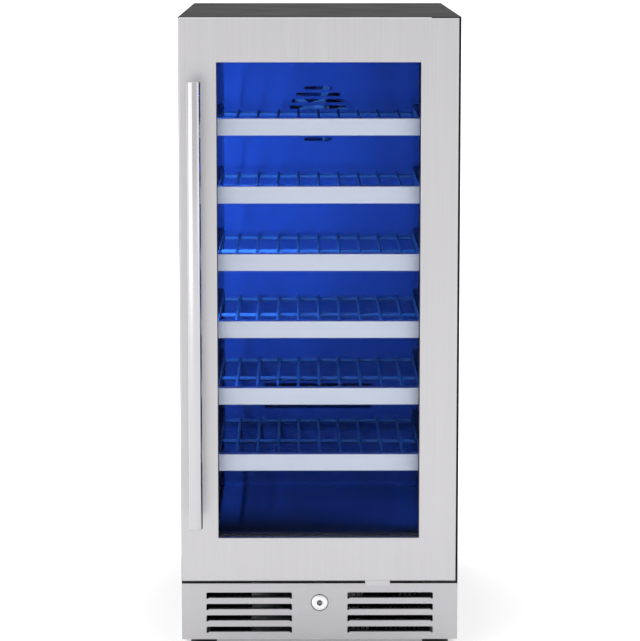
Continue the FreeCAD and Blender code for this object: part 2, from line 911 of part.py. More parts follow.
def hinge_screw_places():
    inset = dim("hinge_screw_inset")
    return pivot_x - dim("hinge_foot_inner") + inset, pivot_x + dim("hinge_foot_outer") - inset


def countersink(name, x, z, slack):
    """Cone of a countersunk head, wide end at the plate's front face."""
    cone = doc.addObject("Part::Cone", name)
    cone.Label = name
    bind(cone, "Radius1", dim("screw_head") + slack)
    bind(cone, "Radius2", dim("screw_radius") + slack)
    bind(cone, "Height", dim("screw_sink"))
    cone.Placement = FreeCAD.Placement(FreeCAD.Vector(), TURNS["y"])
    place(cone, (x, front - dim("hinge_plate"), z))
    return cone


def make_glass():
    margin = dim("glass_margin")
    thick = dim("glass_thick")
    for name, start in (("outer_glass", glass_front), ("inner_glass", inner_glass_front)):
        body = new_body(name)
        pane = sketch_on(body, "front", start)
        window_rectangle(pane, margin)
        pad(body, pane, thick)
    spacer = new_body("glass_spacer")
    bar = sketch_on(spacer, "front", glass_front + thick)
    window_rectangle(bar, margin - dim("spacer_inset"))
    window_rectangle(bar, margin - dim("spacer_inset") - dim("spacer_width"))
    pad(spacer, bar, dim("glass_gap"))


def make_gasket():
    """Magnetic seal: a broad foot on the door and a narrower sealing face towards the cabinet."""
    inner = dim("gasket_margin")
    width = dim("gasket_width")
    height = dim("door_back_gap") - dim("gasket_gap")
    body = new_body("door_gasket")
    half = height / 2
    for start, shrink in ((door_rear, 0), (door_rear + half, dim("gasket_step"))):
        ring = sketch_on(body, "front", start)
        for grow in (inner + width - shrink, inner + shrink):
            side = cavity_side + grow
            rectangle(ring, (-side, cavity_floor - grow), (side, cavity_top + grow))
        pad(body, ring, half)


def make_stop_tab():
    """Small angle under the door: a flat foot on the bottom edge and a round-cornered tab that hangs down."""
    body = new_body("door_stop_tab")
    right = door_right - dim("tab_from_hinge")
    left = right - dim("tab_width")
    face = door_front + dim("tab_setback")
    low = door_bottom - dim("tab_drop")
    foot = sketch_on(body, "top", door_bottom)
    rectangle(foot, (left, face), (right, face + dim("tab_foot")))
    pad(body, foot, plate, -1)
    hanging = sketch_on(body, "front", face)
    rectangle(hanging, (left, low), (right, door_bottom))
    pad(body, hanging, plate)
    round_edges(body, dim("tab_round"), lambda middle, edge: near(middle.z, low) and runs_along_y(edge))


def runs_along_y(edge):
    box = edge.BoundBox
    return box.YLength > 1 and box.XLength < 0.1


def make_handle():
    """Round bar with broken end edges, on two posts that are bolted through the door skin."""
    radius = dim("handle_radius")
    length = dim("handle_length")
    broken = 1
    start = top - dim("handle_drop") - length
    turned("handle_bar", [(0, 0), (radius - broken, 0), (radius, broken), (radius, length - broken),
                          (radius - broken, length), (0, length)], (handle_x, handle_y, start), "z")
    foot_depth = dim("post_foot")
    saddle_half = 20
    bolt = dim("bolt_radius")
    bolt_front = door_front - dim("bolt_length")
    inside = door_front + sheet_metal
    solids = []
    for z in handle_post_heights():
        post = rod("handle_post_rod", (handle_x, handle_y, z), "y", door_front - handle_y,
                   dim("post_radius"))
        foot = rod("handle_post_foot", (handle_x, door_front - foot_depth, z), "y", foot_depth,
                   dim("post_radius") + dim("post_flare"))
        saddle = rod("handle_post_saddle", (handle_x, handle_y, z - saddle_half), "z", saddle_half * 2,
                     radius + 0.01)
        thread = rod("handle_post_thread", (handle_x, bolt_front - overcut, z), "y",
                     dim("bolt_length") + overcut * 2, bolt + guide_gap)
        solids.append(cut("handle_post", fuse("handle_post_solid", [post, foot]), [saddle, thread]))
        shank = rod("handle_bolt_shank", (handle_x, bolt_front, z), "y", inside - bolt_front, bolt)
        head = rod("handle_bolt_head", (handle_x, inside, z), "y", dim("bolt_head_height"), dim("bolt_head"))
        solids.append(fuse("handle_bolt", [shank, head]))
    group("handle_posts", solids)


# Racks

def make_rack(index):
    """One sliding rack: a folded metal front on a welded wire shelf with two side slides."""
    centre = rack_centre(index)
    half = dim("rack_front_width") / 2
    face = front + dim("rack_setback")
    depth = dim("rack_front_depth")
    tall = dim("rack_front_height") / 2
    body = new_body(f"rack_front_{index}")
    outline = sketch_on(body, "side")
    low, high = centre - tall, centre + tall
    polygon(outline, [(face, low), (face + depth, low), (face + depth, low + plate),
                      (face + plate, low + plate), (face + plate, high - plate),
                      (face + depth, high - plate), (face + depth, high), (face, high)])
    pad(body, outline, half * 2, 0)
    round_edges(body, 1, lambda middle, edge: near(middle.y, face) and edge.BoundBox.XLength > 10)

    wire = dim("rack_wire")
    cross = dim("rack_rod")
    side = cavity_side - dim("rail_inset")
    rail_front = face + depth
    rail_rear = rail_front + dim("runner_length") - 10
    rod_z = centre - dim("rack_rod_drop")
    weld = 0.6
    wire_z = rod_z + cross + wire - weld
    slide_low = centre - dim("slide_drop")
    cross_places = (rail_front + 12, face + 189, rail_rear - 8)
    rod_reach = side + plate / 3
    pieces = []
    for low, high in mirrored_pair((side, rail_front, centre - dim("rail_low")),
                                   (side + plate, rail_rear, centre + dim("rail_high"))):
        pieces.append(block(f"rack_{index}_side", low, high))
    for low, high in mirrored_pair((side + plate, rail_front + 6, slide_low),
                                   (side + plate + dim("slide_reach"), rail_rear, slide_low + plate)):
        pieces.append(block(f"rack_{index}_slide", low, high))
    for y in cross_places:
        pieces.append(rod(f"rack_{index}_rod", (-rod_reach, y, rod_z), "x", rod_reach * 2, cross))
    for step in range(-4, 5):
        start = (dim("rack_wire_pitch") * step, face + plate, wire_z)
        pieces.append(rod(f"rack_{index}_wire", start, "y", rail_rear - face - plate - wire - weld, wire))
    fuse(f"rack_wire_{index}", pieces)


def rack_centre(index):
    """Height of the middle of a rack's front; rack 1 is the top one."""
    return dim("rack_top_centre") - dim("rack_pitch") * (index - 1)


def make_runners():
    """Fixed channels on the liner walls, one pair to a rack."""
    wide = dim("runner_width")
    start = front + dim("rack_setback") + dim("rack_front_depth") + 2
    end = start + dim("runner_length")
    outer = cavity_side
    channels = []
    for index in range(1, RACK_COUNT + 1):
        low = rack_centre(index) - dim("runner_low")
        high = rack_centre(index) + dim("runner_high")
        solids = mirrored_pair((outer - wide, start, low), (outer, end, high))
        spaces = mirrored_pair((outer - wide - overcut, start - overcut, low + plate),
                               (outer - plate, end + overcut, high - plate))
        for solid, space in zip(solids, spaces):
            channels.append(cut("runner", block("runner_solid", *solid), [block("runner_space", *space)]))
    group("rack_runners", channels)


# Feet

def make_feet():
    """Levelling feet: a broad pad with a low cone on a threaded stud."""
    stud = dim("stud_radius")
    stud_top = dim("stud_top")
    pad_radius = dim("foot_radius")
    collar = dim("foot_collar")
    edge, rim, cone = 1.5, 6, 10
    for name, (x, y) in foot_places().items():
        turned(f"foot_{name}", [(0, 0), (pad_radius - edge, 0), (pad_radius, edge), (pad_radius, rim),
                                (collar, cone), (stud, cone), (stud, stud_top - 1), (stud - 1, stud_top),
                                (0, stud_top)], (x, y, 0), "z")


# Cooling system

def make_fan(name, centre, radius, blades):
    """Axial fan wheel on the Y axis: a hub with a bore and twisted paddles."""
    x, y, z = centre
    hub = dim("hub_radius")
    bore = dim("shaft_radius") + running_fit
    depth, bevel = 11, 2
    root = hub - 1
    pitch_angle = -58
    thick, chord = sheet_metal, 16
    wheel = turned(f"{name}_hub", [(bore, 0), (hub, 0), (hub, depth - bevel), (hub - bevel * 0.75, depth),
                                   (bore, depth)], (x, y, z), "y")
    paddles = []
    for index in range(blades):
        paddle = doc.addObject("Part::Box", f"{name}_paddle")
        bind(paddle, "Length", radius - root)
        bind(paddle, "Width", thick)
        bind(paddle, "Height", chord)
        spin = FreeCAD.Rotation(FreeCAD.Vector(0, 1, 0), 360 * index / blades)
        pitch = FreeCAD.Rotation(FreeCAD.Vector(1, 0, 0), pitch_angle)
        turn = spin.multiply(pitch)
        start = spin.multVec(FreeCAD.Vector(number(root), 0, 0))
        start += turn.multVec(FreeCAD.Vector(0, -number(thick) / 2, -chord / 2))
        paddle.Placement = FreeCAD.Placement(FreeCAD.Vector(), turn)
        place(paddle, (x + start.x, y + depth / 2 + start.y, z + start.z))
        paddles.append(paddle)
    fuse(name, [wheel] + paddles)


def make_fan_motor(name, centre, length, radius, mounting):
    """Motor can behind a fan wheel, with the shaft that carries the wheel and its mounting."""
    x, y, z = centre
    shaft_front, can_front = 1, 13
    can = rod(f"{name}_can", (x, y + can_front, z), "y", length, radius)
    shaft = rod(f"{name}_shaft", (x, y + shaft_front, z), "y", can_front - shaft_front, dim("shaft_radius"))
    fuse(name, [can, shaft, mounting])


def make_inner_cooling():
    """Evaporator and its fan behind the duct cover at the back of the cavity."""
    cover_front = cavity_back - dim("duct_setback")
    cover_rear = cover_front + plate
    edge = dim("duct_edge")
    cover_low = step_top + edge
    side = cavity_side - edge
    sheet_part = block("duct_sheet", (-side, cover_front, cover_low),
                       (side, cover_rear, cavity_top - edge * 2))
    cut_front, cut_rear = cover_front - overcut, cover_rear + overcut
    tall = dim("slot_height")
    pitch = dim("intake_pitch")
    fan_z = cavity_top - dim("intake_drop")
    openings = []
    for row in range(-4, 5):
        reach = math.sqrt(number(dim("intake_radius")) ** 2 - (row * number(pitch)) ** 2)
        z = fan_z + pitch * row
        openings.append(block("duct_slot", (-reach, cut_front, z - tall / 2),
                              (reach, cut_rear, z + tall / 2)))
    return_half, return_start, return_pitch = 80, 22, 11
    for row in range(4):
        z = cover_low + return_start + row * return_pitch
        openings.append(block("duct_return", (-return_half, cut_front, z),
                              (return_half, cut_rear, z + tall)))
    cut("rear_duct_cover", sheet_part, openings)

    fan_y = cover_rear + 4
    make_fan("evaporator_fan_blade", (0, fan_y, fan_z), dim("inner_fan"), 5)
    arm_reach, arm_half, arm_depth = 52, 5, 4
    arms = block("inner_motor_arm", (-arm_reach, cavity_back - arm_depth, fan_z - arm_half),
                 (arm_reach, cavity_back, fan_z + arm_half))
    make_fan_motor("evaporator_fan_motor", (0, fan_y, fan_z), cavity_back - fan_y - 14, 18, arms)

    fin_count, fin_pitch = 15, 16
    coil_front, coil_rear = cavity_back - 42, cavity_back - 12
    coil_low, coil_high = 320, 600
    pieces = []
    for index in range(fin_count):
        x = (index - fin_count // 2) * fin_pitch
        pieces.append(block("evaporator_fin", (x, coil_front, coil_low),
                            (x + dim("fin_thick"), coil_rear, coil_high)))
    tube_half, tube_radius, tube_pitch = 120, 4.5, 46
    for row in range(6):
        start = (-tube_half, (coil_front + coil_rear) / 2, coil_low + 25 + row * tube_pitch)
        pieces.append(rod("evaporator_tube", start, "x", tube_half * 2, tube_radius))
    fuse("evaporator", pieces)


def make_compressor():
    """Domed compressor shell with a waist seam, on four rubber-footed legs, with its terminal box."""
    x, y = dim("compressor_side"), bay_step + dim("compressor_rear")
    shell = turned("compressor_shell", [(0, 12), (48, 12), (60, 22), (62, 34), (62, 92), (60, 96), (60, 118),
                                        (52, 136), (34, 146), (0, 149)], (x, y, bay_floor), "z")
    leg_half, leg_depth, leg_low, leg_thick = 82, 45, 10, 3
    legs = block("compressor_legs", (x - leg_half, y - leg_depth, bay_floor + leg_low),
                 (x + leg_half, y + leg_depth, bay_floor + leg_low + leg_thick))
    across, along, foot_height, foot_radius = 72, 34, 15, 8
    mounts = [rod("compressor_mount", (x + sx * across, y + sy * along, bay_floor), "z", foot_height,
                  foot_radius) for sx in (-1, 1) for sy in (-1, 1)]
    inner, outer, half, low, high = 52, 80, 24, 52, 104
    terminal = block("compressor_terminal", (x + inner, y - half, bay_floor + low),
                     (x + outer, y + half, bay_floor + high))
    fuse("compressor", [shell, legs, terminal] + mounts)


def make_condenser():
    """Finned condenser behind the right-hand louvres, with the fan that draws air through it."""
    fin_count, fin_pitch, fin_height = 18, 6.5, 80
    left, tube_start, tube_length = 24, 18, 126
    pieces = []
    for index in range(fin_count):
        x = left + index * fin_pitch
        pieces.append(block("condenser_fin", (x, front + 18, bay_floor),
                            (x + dim("fin_thick"), front + 62, bay_floor + fin_height)))
    tube_radius, tube_low, tube_pitch = 4, 15, 25
    for y in (front + 30, front + 50):
        for row in range(3):
            start = (tube_start, y, bay_floor + tube_low + row * tube_pitch)
            pieces.append(rod("condenser_tube", start, "x", tube_length, tube_radius))
    fuse("condenser", pieces)

    x, y, z = fan = (80, front + 72, bay_floor + 41)
    make_fan("condenser_fan_blade", fan, dim("outer_fan"), 5)
    leg = block("outer_motor_leg", (x - 8, y + 24, bay_floor), (x + 8, y + 27, z))
    make_fan_motor("condenser_fan_motor", fan, 34, 19, leg)


def make_electronics_box():
    """Closed case behind the left-hand louvres, with a groove where its lid meets it."""
    left, right, rear_face, height = -180, -96, front + 150, 62
    lid_line, groove = 52, 1
    low = (left, front + 40, bay_floor)
    case = block("electronics_case", low, (right, rear_face, bay_floor + height))
    outer = block("lid_outer", (left - groove, low[1] - groove, bay_floor + lid_line),
                  (right + groove, rear_face + groove, bay_floor + lid_line + groove))
    inner = block("lid_inner", (left + groove, low[1] + groove, bay_floor + lid_line - groove),
                  (right - groove, rear_face - groove, bay_floor + lid_line + groove * 2))
    cut("electronics_box", case, [cut("electronics_lid_line", outer, [inner])])


def make_power_inlet():
    """Three-pin appliance inlet in the rear cover."""
    outside = rear - dim("back_recess")
    x, z = dim("inlet_side"), dim("inlet_level")
    rim_half, rim_tall = dim("inlet_rim_width") / 2, dim("inlet_rim_height") / 2
    depth = dim("socket_depth")
    low, high = inlet_outline(0)
    shell = block("inlet_body", (low[0], outside - dim("inlet_depth"), low[1]), (high[0], outside, high[1]))
    rim = block("inlet_rim", (x - rim_half, outside, z - rim_tall), (x + rim_half, rear, z + rim_tall))
    low, high = inlet_outline(-dim("inlet_wall"))
    socket = block("inlet_socket", (low[0], outside - depth, low[1]), (high[0], rear + overcut, high[1]))
    pin_half, pin_tall, pin_pitch, earth_rise, line_drop = 1, 2, 7, 1, 4
    pins = []
    for column, rise in ((-1, -line_drop), (0, earth_rise), (1, -line_drop)):
        pin_x = x + pin_pitch * column
        pins.append(block("inlet_pin", (pin_x - pin_half, outside - depth - overcut, z + rise - pin_tall),
                          (pin_x + pin_half, outside - overcut, z + rise + pin_tall)))
    fuse("power_inlet", [cut("inlet_hollow", fuse("inlet_solid", [shell, rim]), [socket])] + pins)


def pipe(name, points, radius, bend):
    """A bent tube along straight runs joined by tangent arcs."""
    runs = [FreeCAD.Vector(*(number(value) for value in point)) for point in points]
    edges = []
    start = runs[0]
    for before, corner, after in zip(runs, runs[1:], runs[2:]):
        to_before = (before - corner).normalize()
        to_after = (after - corner).normalize()
        half_turn = to_before.getAngle(to_after) / 2
        trim = bend / math.tan(half_turn)
        first = corner + to_before * trim
        last = corner + to_after * trim
        centre = corner + (to_before + to_after).normalize() * (bend / math.sin(half_turn))
        middle = centre + (corner - centre).normalize() * bend
        edges.append(Part.LineSegment(start, first).toShape())
        edges.append(Part.Arc(first, middle, last).toShape())
        start = last
    edges.append(Part.LineSegment(start, runs[-1]).toShape())
    path = Part.Wire(edges)
    section = Part.Wire(Part.Circle(runs[0], runs[1] - runs[0], radius).toShape())
    item = doc.addObject("Part::Feature", name)
    item.Label = name
    item.Shape = path.makePipeShell([section], True, True)
    return item


def make_refrigerant_lines():
    """Discharge line to the condenser, liquid line's drier, and suction line up into the insulation."""
    x, y = dim("compressor_side"), bay_step + dim("compressor_rear")
    shell_top = bay_floor + 150
    high = shell_top + 18
    low = bay_floor + 40
    right, wall = 160, 177
    out = (x + 40, y - 60)
    discharge = pipe("discharge_line", [(*out, shell_top), (*out, high), (right, out[1], high),
                                        (right, out[1], low), (wall, y - 90, low), (wall, front + 35, low)],
                     3, 7)
    back = (x - 40, y + 20)
    suction = pipe("suction_line", [(*back, shell_top), (*back, high + 2), (x - 100, back[1], high + 2),
                                    (x - 100, back[1], bay_high - plate)], 4, 9)
    drier = turned("drier", [(0, 0), (3, 0), (9, 10), (9, 80), (3, 92), (0, 92)],
                   (-150, bay_step + 60, bay_floor + 30), "y")
    group("refrigerant_lines", [discharge, suction, drier])


def make_cavity_fittings():
    """Touch control unit at the ceiling and the two upright light strips behind the door frame."""
    control = new_body("control_panel")
    outline = sketch_on(control, "side")
    start = front + dim("control_setback")
    end = start + dim("control_depth")
    face = cavity_top - dim("control_height")
    edge = cavity_top - dim("control_edge")
    polygon(outline, [(start, cavity_top), (start, edge), (start + 6, face), (end - 8, face), (end, edge),
                      (end, cavity_top)])
    pad(control, outline, dim("control_width"), 0)
    strip_front = front + dim("strip_setback")
    inset = dim("strip_inset")
    boxes = mirrored_pair((cavity_side - dim("strip_thick"), strip_front, cavity_floor + inset),
                          (cavity_side, strip_front + dim("strip_width"), cavity_top - inset))
    group("led_strips", [block("light_strip", low, high) for low, high in boxes])


def node_names():
    fixed = ["cabinet_left_side", "cabinet_right_side", "cabinet_top_panel", "cabinet_back_panel",
             "rear_cover", "base_pan", "machine_bay_roof", "lower_crossmember", "inner_liner",
             "insulation_foam", "kick_grille", "top_hinge_plate", "bottom_hinge_plate", "hinge_pins",
             "hinge_screws", "compressor", "condenser", "condenser_fan_motor", "refrigerant_lines",
             "evaporator", "evaporator_fan_motor", "rear_duct_cover", "power_inlet", "electronics_box",
             "control_panel", "led_strips", "rack_runners"]
    door = ["door_skin", "door_liner", "door_foam", "outer_glass", "inner_glass", "glass_spacer",
            "door_gasket", "door_stop_tab", "hinge_blocks", "hinge_bushes", "handle_bar", "handle_posts"]
    moving = ["lock_housing", "lock_core", "lock_bolt", "evaporator_fan_blade", "condenser_fan_blade"]
    feet = [f"foot_{name}" for name in foot_places()]
    racks = [f"{part}_{index}" for index in range(1, RACK_COUNT + 1) for part in ("rack_front", "rack_wire")]
    return fixed + door + moving + feet + racks


def build():
    make_cabinet_panels()
    make_rear_cover()
    make_base_pan()
    make_bay_roof()
    make_liner()
    make_foam()
    make_crossmember()
    make_kick_grille()
    make_lock()
    make_door_skin()
    make_door_liner()
    make_door_foam()
    make_hinge_blocks()
    make_hinge_bushes()
    make_hinge_plates()
    make_glass()
    make_gasket()
    make_stop_tab()
    make_handle()
    for index in range(1, RACK_COUNT + 1):
        make_rack(index)
    make_runners()
    make_feet()
    make_inner_cooling()
    make_compressor()
    make_condenser()
    make_electronics_box()
    make_power_inlet()
    make_refrigerant_lines()
    make_cavity_fittings()
    doc.recompute()


def export():
    """Stop on any failed object, then write each node's shape."""
    for item in doc.Objects:
        if "Invalid" in item.State or "Error" in item.State:
            raise RuntimeError(f"{item.Label} failed: {item.State}")
    os.makedirs("parts", exist_ok=True)
    for name in node_names():
        shape = doc.getObjectsByLabel(name)[0].Shape
        if shape.isNull() or not shape.isValid() or shape.Volume <= 0:
            raise RuntimeError(f"{name} has no valid shape")
        shape.exportStep(f"parts/{name}.step")
        box = shape.BoundBox
        extent = f"{box.XLength:.1f} x {box.YLength:.1f} x {box.ZLength:.1f}"
        print(f"{name}: {len(shape.Solids)} solid(s), {extent}")


build()
export()
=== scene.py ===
"""Undercounter wine cooler: finishes, detailed pieces, studio light and camera round the CAD frame."""

import math

import bmesh
import bpy
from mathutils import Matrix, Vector


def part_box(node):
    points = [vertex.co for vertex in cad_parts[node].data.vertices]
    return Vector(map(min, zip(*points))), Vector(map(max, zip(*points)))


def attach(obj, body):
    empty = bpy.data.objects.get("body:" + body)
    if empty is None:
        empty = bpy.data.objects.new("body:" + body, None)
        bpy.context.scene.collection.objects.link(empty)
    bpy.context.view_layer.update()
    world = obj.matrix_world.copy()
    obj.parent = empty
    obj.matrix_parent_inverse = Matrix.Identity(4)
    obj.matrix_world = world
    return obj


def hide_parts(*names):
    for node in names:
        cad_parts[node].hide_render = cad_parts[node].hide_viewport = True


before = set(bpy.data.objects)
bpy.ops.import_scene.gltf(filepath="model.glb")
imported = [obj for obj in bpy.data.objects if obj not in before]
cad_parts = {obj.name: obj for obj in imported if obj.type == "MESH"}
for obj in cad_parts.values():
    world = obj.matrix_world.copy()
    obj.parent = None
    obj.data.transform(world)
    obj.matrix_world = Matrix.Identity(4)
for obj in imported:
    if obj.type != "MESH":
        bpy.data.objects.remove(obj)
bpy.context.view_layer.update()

MM = 0.001
RACKS = range(1, 7)
lock_low, lock_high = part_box("lock_housing")
LOCK_HEIGHT = (lock_low.z + lock_high.z) / 2


# Node materials

class Finish:
    """A Principled material whose colour, roughness and relief come from procedural nodes."""

    def __init__(self, name, **uniform):
        self.material = bpy.data.materials.new(name)
        self.material.use_nodes = True
        self.tree = self.material.node_tree
        self.shader = self.tree.nodes["Principled BSDF"]
        for socket, value in uniform.items():
            self.shader.inputs[socket.replace("_", " ")].default_value = value
        self.place = self.add("ShaderNodeTexCoord").outputs["Object"]

    def add(self, kind, inputs=None, **settings):
        node = self.tree.nodes.new(kind)
        for name, value in settings.items():
            setattr(node, name, value)
        for socket, value in (inputs or {}).items():
            if isinstance(value, bpy.types.NodeSocket):
                self.tree.links.new(value, node.inputs[socket])
            else:
                node.inputs[socket].default_value = value
        return node

    def noise(self, size, stretch=(1, 1, 1), detail=2.0):
        """Noise from 0 to 1 whose grain is `size` metres across, longer where `stretch` is above 1."""
        scale = [1 / (size * s) for s in stretch]
        mapped = self.add("ShaderNodeMapping", {"Vector": self.place, "Scale": scale}).outputs["Vector"]
        grain = self.add("ShaderNodeTexNoise", {"Vector": mapped, "Scale": 1.0, "Detail": detail})
        return grain.outputs["Fac"]

    def cells(self, size, output="Distance"):
        """Voronoi cells about `size` metres across."""
        pattern = self.add("ShaderNodeTexVoronoi", {"Vector": self.place, "Scale": 1 / size})
        return pattern.outputs[output]

    def spread(self, factor, low, high, start=0.0, end=1.0):
        """Maps a factor from start..end to low..high."""
        limits = {"From Min": start, "From Max": end, "To Min": low, "To Max": high}
        return self.add("ShaderNodeMapRange", {"Value": factor, **limits}).outputs["Result"]

    def mix(self, factor, first, second):
        """Mixes two colours, given as RGB or as a socket."""
        node = self.add("ShaderNodeMix", data_type="RGBA")
        for index, value in ((0, factor), (6, first), (7, second)):
            if isinstance(value, bpy.types.NodeSocket):
                self.tree.links.new(value, node.inputs[index])
            else:
                node.inputs[index].default_value = value if index == 0 else (*value, 1)
        return node.outputs[2]

    def times(self, first, second):
        return self.add("ShaderNodeMath", {0: first, 1: second}, operation="MULTIPLY").outputs["Value"]

    def vector(self, operation, first, second=(0, 0, 0)):
        return self.add("ShaderNodeVectorMath", {0: first, 1: second}, operation=operation).outputs

    def rounded(self, radius):
        """The surface normal as if every edge were rounded by `radius` metres."""
        return self.add("ShaderNodeBevel", {"Radius": radius}, samples=4).outputs["Normal"]

    def edges(self, radius):
        """A factor that is 0 on flat stretches and 1 on the edges of a shape."""
        flat = self.add("ShaderNodeNewGeometry").outputs["Normal"]
        turned = self.vector("DOT_PRODUCT", self.rounded(radius), flat)["Value"]
        return self.spread(turned, 1.0, 0.0, start=0.86, end=0.995)

    def wire(self, socket, source):
        self.tree.links.new(source, self.shader.inputs[socket])

    def relief(self, height, depth, radius=None):
        """Bump of `depth` metres, over edges that look rounded by `radius` metres."""
        inputs = {"Height": height, "Distance": depth, "Strength": 1.0}
        if radius:
            inputs["Normal"] = self.rounded(radius)
        self.wire("Normal", self.add("ShaderNodeBump", inputs).outputs["Normal"])


def shade(colour, factor):
    return tuple(min(1.0, part * factor) for part in colour)


def brushed_metal(name, tone, stretch, rough=(0.26, 0.40), grain=0.0012):
    """Satin metal with a grain along the stretched axis, faint clouding and brighter worn edges."""
    finish = Finish(name, Metallic=1.0)
    wear = 0.0006
    fine = finish.noise(grain, stretch, detail=4.0)
    broad = finish.noise(grain * 9, stretch, detail=2.0)
    cloud = finish.noise(0.11, detail=3.0)
    base = finish.mix(finish.spread(fine, 0, 1, 0.3, 0.7), shade(tone, 0.955), shade(tone, 1.03))
    base = finish.mix(finish.spread(broad, 0, 0.35, 0.35, 0.65), base, shade(tone, 0.95))
    base = finish.mix(finish.spread(cloud, 0, 0.25, 0.4, 0.7), base, shade(tone, 1.04))
    base = finish.mix(finish.times(finish.edges(wear), 0.5), base, shade(tone, 1.18))
    finish.wire("Base Color", base)
    finish.wire("Roughness", finish.spread(fine, *rough, 0.2, 0.8))
    finish.relief(fine, grain * 0.004, wear)
    return finish.material


def plain_metal(name, tone, rough=(0.25, 0.42), grain=0.004, wear=0.0004):
    """Rolled, drawn or turned metal with light handling marks."""
    finish = Finish(name, Metallic=1.0)
    marks = finish.noise(grain, detail=5.0)
    dust = finish.noise(grain * 12, detail=3.0)
    base = finish.mix(finish.spread(marks, 0, 1, 0.3, 0.7), shade(tone, 0.86), shade(tone, 1.08))
    base = finish.mix(finish.spread(dust, 0, 0.4, 0.45, 0.7), base, shade(tone, 0.72))
    base = finish.mix(finish.times(finish.edges(wear), 0.6), base, shade(tone, 1.3))
    finish.wire("Base Color", base)
    finish.wire("Roughness", finish.spread(marks, *rough, 0.3, 0.7))
    finish.relief(marks, grain * 0.004, wear)
    return finish.material


def lock_nickel(name, tone, face):
    """Satin nickel lock face of radius `face`; the flange round it is painted near-black, a painted
    shadow of its hole.
    """
    finish = Finish(name, Metallic=1.0)
    marks = finish.noise(0.002, detail=5.0)
    offset = finish.vector("SUBTRACT", finish.place, (0, 0, LOCK_HEIGHT))["Vector"]
    flat = finish.vector("MULTIPLY", offset, (1, 0, 1))["Vector"]
    reach = finish.vector("LENGTH", flat)["Value"]
    base = finish.mix(finish.spread(marks, 0, 1, 0.3, 0.7), shade(tone, 0.93), shade(tone, 1.05))
    # Painted shadow: past the face's radius the colour drops to near-black, standing in for the shade
    # in the hole round the lock.
    painted_shadow = finish.spread(reach, 0, 1, face, face + 0.0002)
    finish.wire("Base Color", finish.mix(painted_shadow, base, shade(tone, 0.08)))
    finish.wire("Roughness", finish.spread(marks, 0.30, 0.42, 0.3, 0.7))
    finish.relief(marks, 0.000008, 0.0004)
    return finish.material


def galvanised(name):
    """Zinc-coated sheet with its spangle of grey crystals."""
    finish = Finish(name, Metallic=0.9)
    crystal = finish.cells(0.0055, "Color")
    grey = finish.add("ShaderNodeRGBToBW", {"Color": crystal}).outputs["Val"]
    film = finish.noise(0.03, detail=4.0)
    base = finish.mix(finish.spread(grey, 0, 1, 0.2, 0.8), (0.45, 0.47, 0.49), (0.54, 0.56, 0.58))
    base = finish.mix(finish.spread(film, 0, 0.25, 0.45, 0.75), base, (0.40, 0.40, 0.41))
    base = finish.mix(finish.times(finish.edges(0.0005), 0.5), base, (0.72, 0.73, 0.74))
    finish.wire("Base Color", base)
    finish.wire("Roughness", finish.spread(grey, 0.34, 0.56, 0.2, 0.8))
    finish.relief(finish.noise(0.004, detail=3.0), 0.00002, 0.0005)
    return finish.material


def powder_paint(name, tone, rough=(0.42, 0.58), pebble=0.0007, wear=0.0007, gloss=0.18):
    """Powder-coated sheet: a fine orange peel, faint streaks of dust and rubbed edges."""
    finish = Finish(name, Specular_IOR_Level=gloss)
    peel = finish.cells(pebble)
    cloud = finish.noise(0.07, detail=4.0)
    base = finish.mix(finish.spread(cloud, 0, 1, 0.3, 0.7), shade(tone, 0.93), shade(tone, 1.07))
    base = finish.mix(finish.times(finish.edges(wear), 0.55), base, shade(tone, 1.7))
    finish.wire("Base Color", base)
    finish.wire("Roughness", finish.spread(cloud, *rough, 0.3, 0.7))
    finish.relief(peel, pebble * 0.05, wear)
    return finish.material


def moulded(name, tone, rough=(0.38, 0.55), grain=0.0011, depth=0.00002, **uniform):
    """Injection- or vacuum-formed plastic with a fine leather grain."""
    finish = Finish(name, **uniform)
    wear = 0.0006
    pebbles = finish.cells(grain)
    flow = finish.noise(0.05, (1, 1, 3), detail=3.0)
    base = finish.mix(finish.spread(flow, 0, 1, 0.3, 0.7), shade(tone, 0.88), shade(tone, 1.1))
    base = finish.mix(finish.times(finish.edges(wear), 0.4), base, shade(tone, 1.5))
    finish.wire("Base Color", base)
    finish.wire("Roughness", finish.spread(pebbles, *rough, 0.0, 0.8))
    finish.relief(pebbles, depth, wear)
    return finish.material


def rubber(name, tone):
    """Soft PVC or rubber with a bloom of dust."""
    finish = Finish(name, Sheen_Weight=0.15, Sheen_Roughness=0.5)
    dust = finish.noise(0.012, detail=5.0)
    fine = finish.noise(0.0006, detail=2.0)
    base = finish.mix(finish.spread(dust, 0, 1, 0.35, 0.75), tone, shade(tone, 1.8))
    finish.wire("Base Color", base)
    finish.wire("Roughness", finish.spread(dust, 0.55, 0.75, 0.3, 0.7))
    finish.relief(fine, 0.00001, 0.0004)
    return finish.material


def foam(name, deep, high):
    """Rigid polyurethane foam with open cells where it is cut."""
    finish = Finish(name)
    bubbles = finish.cells(0.0016)
    cloud = finish.noise(0.03, detail=3.0)
    base = finish.mix(finish.spread(bubbles, 0, 1, 0.0, 0.6), deep, high)
    base = finish.mix(finish.spread(cloud, 0, 0.4, 0.4, 0.7), base, shade(deep, 1.2))
    finish.wire("Base Color", base)
    finish.wire("Roughness", finish.spread(bubbles, 0.8, 0.95, 0.0, 0.6))
    finish.relief(bubbles, 0.0004)
    return finish.material


def tinted_glass(name):
    """Coated pane: a faint dark film over what lies behind, with a soft wipe pattern in its gloss."""
    finish = Finish(name, IOR=1.5, Alpha=0.04, Specular_IOR_Level=0.15)
    wipes = finish.noise(0.06, (1, 1, 2), detail=3.0)
    finish.wire("Base Color", finish.mix(wipes, (0.003, 0.005, 0.018), (0.005, 0.008, 0.028)))
    finish.wire("Roughness", finish.spread(wipes, 0.03, 0.09, 0.3, 0.7))
    finish.relief(wipes, 0.00002)
    return finish.material


